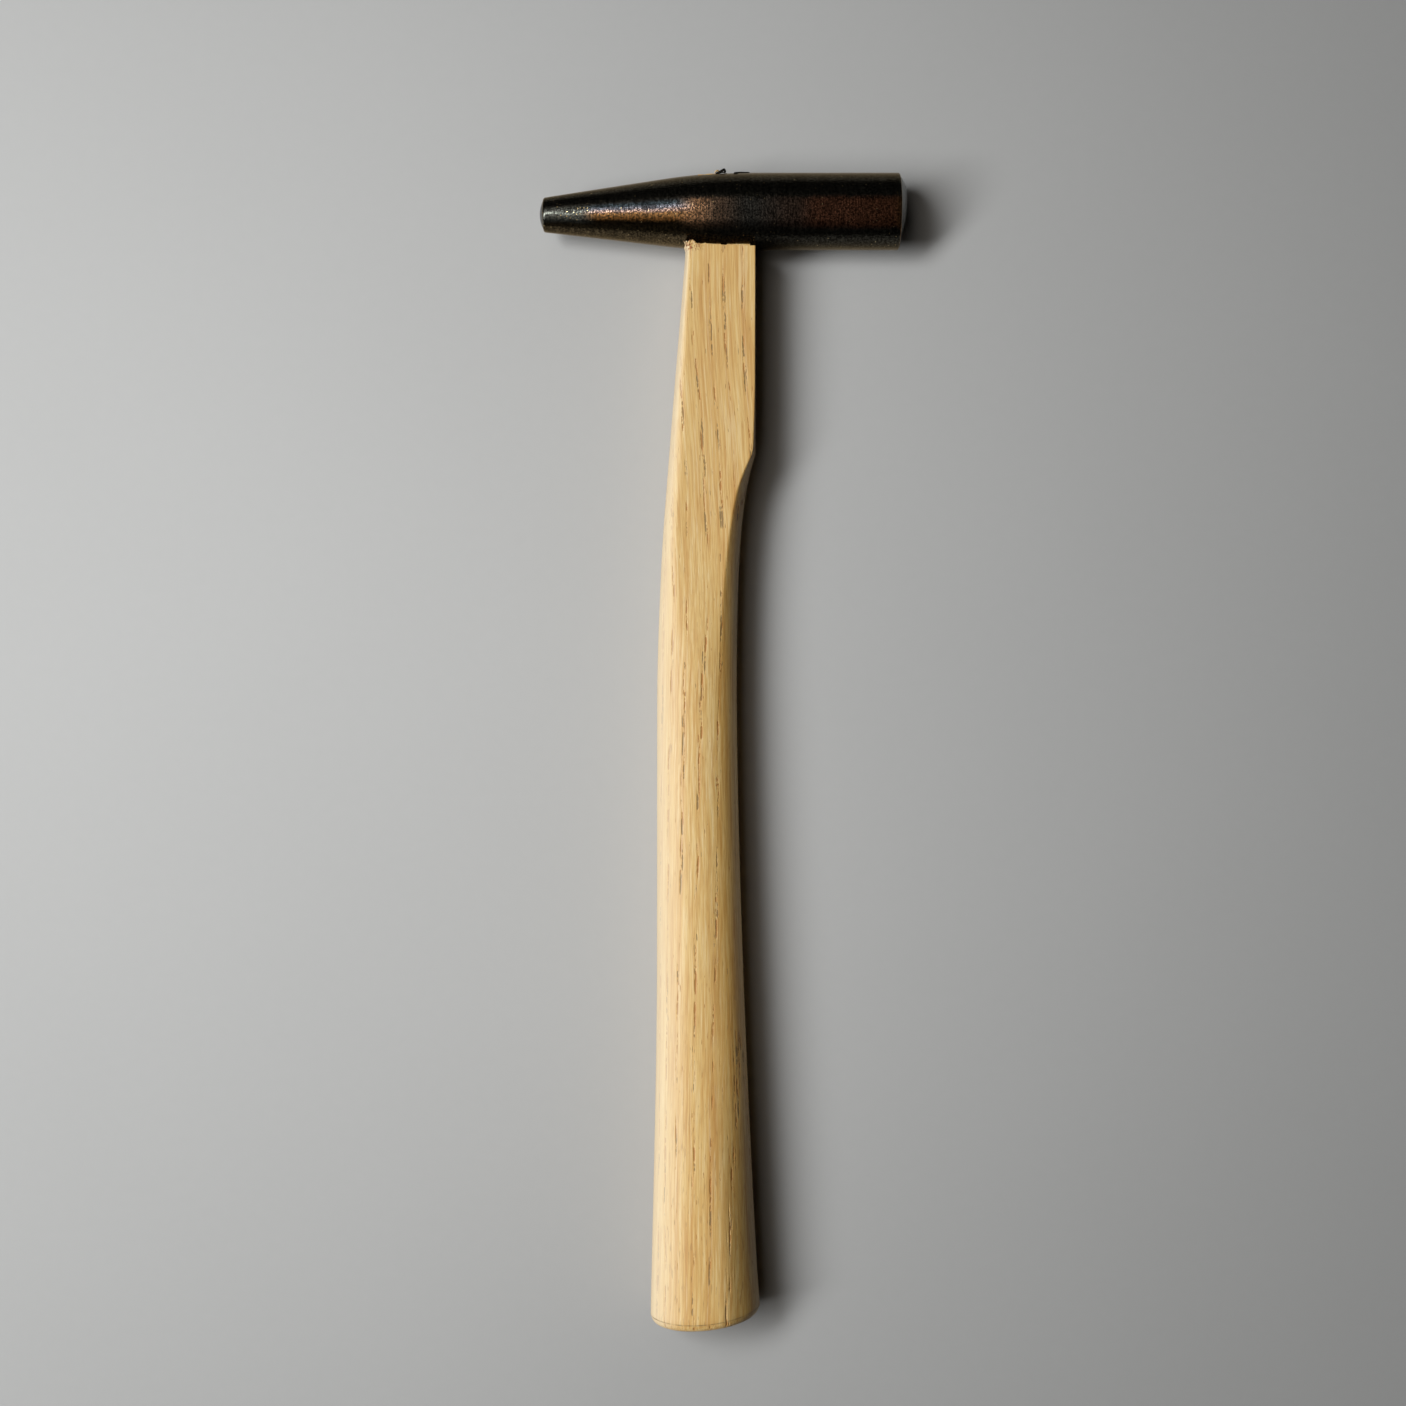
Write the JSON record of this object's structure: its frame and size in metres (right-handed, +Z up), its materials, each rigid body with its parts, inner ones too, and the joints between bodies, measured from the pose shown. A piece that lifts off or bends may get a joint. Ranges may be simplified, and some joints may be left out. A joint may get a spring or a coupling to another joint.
{
  "type": "metalworking hammer",
  "caption": "Small metalworker's hammer with a round tapered steel head, a crowned face, a small domed peen and a scooped oak handle.",
  "frame": {"origin": "on the ground plane, below the middle of the whole hammer's bounding box, with the hammer lying on its side", "axes": "+X along the head towards the crowned striking face, +Y along the handle towards the head, +Z up out of the upper cheek"},
  "size_m": [0.0729, 0.2283, 0.016],
  "materials": {
    "blackened_steel": "turned, oil-blackened and heat-tinted, semi-gloss, with bare steel end faces",
    "raw_oak": "raw oak, sanded, open pores along the grain",
    "bare_steel": "bare mild steel, dull"
  },
  "bodies": {
    "root": {"head": "blackened_steel", "handle": "raw_oak", "wedge": "bare_steel"}
  },
  "joints": []
}
